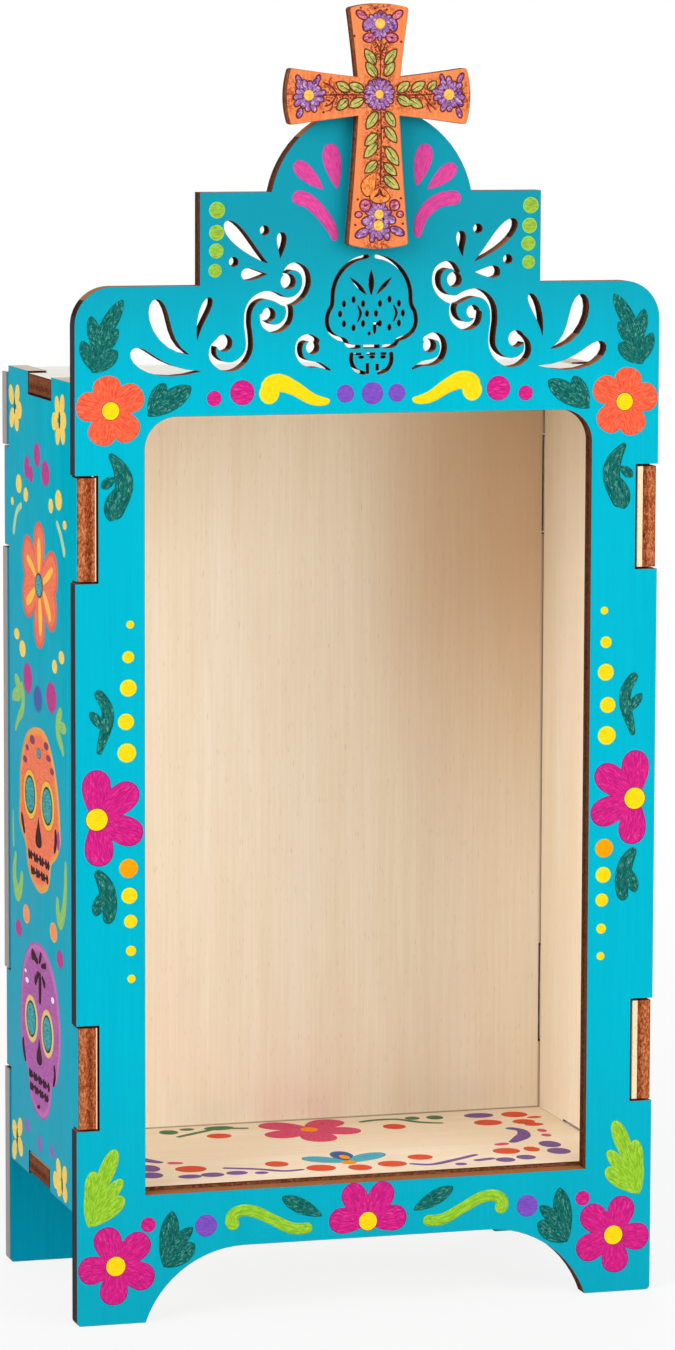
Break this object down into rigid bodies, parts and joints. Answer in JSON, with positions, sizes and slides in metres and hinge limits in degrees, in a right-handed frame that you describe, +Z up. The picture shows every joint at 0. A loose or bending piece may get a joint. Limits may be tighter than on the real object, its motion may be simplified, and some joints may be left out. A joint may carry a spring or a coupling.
{
  "type": "retablo box",
  "caption": "Open-fronted plywood retablo box on four feet: slotted boards, a fretwork crest with steps and a dome, and a glued-on cross; holds small figures behind its window.",
  "frame": {"origin": "on the ground, under the middle of the object's bounding box", "axes": "+Z up; +X to the right as seen from the front; +Y from the front board to the back board"},
  "size_m": [0.15, 0.082, 0.3251],
  "materials": {
    "turquoise_paint": "satin paint on plywood, laser-browned edges",
    "bare_plywood": "bare veneer, laser-browned edges",
    "orange_paint": "mottled satin paint with engraved lines, laser-browned edges",
    "ornament_paint": "hand-painted flowers, leaves, skulls and dots in many colours"
  },
  "bodies": {
    "root": {"front_panel": "turquoise_paint", "back_panel": "turquoise_paint", "left_side": "turquoise_paint", "right_side": "turquoise_paint", "top_panel": "bare_plywood", "floor_panel": "bare_plywood", "cross": "orange_paint"}
  },
  "joints": []
}
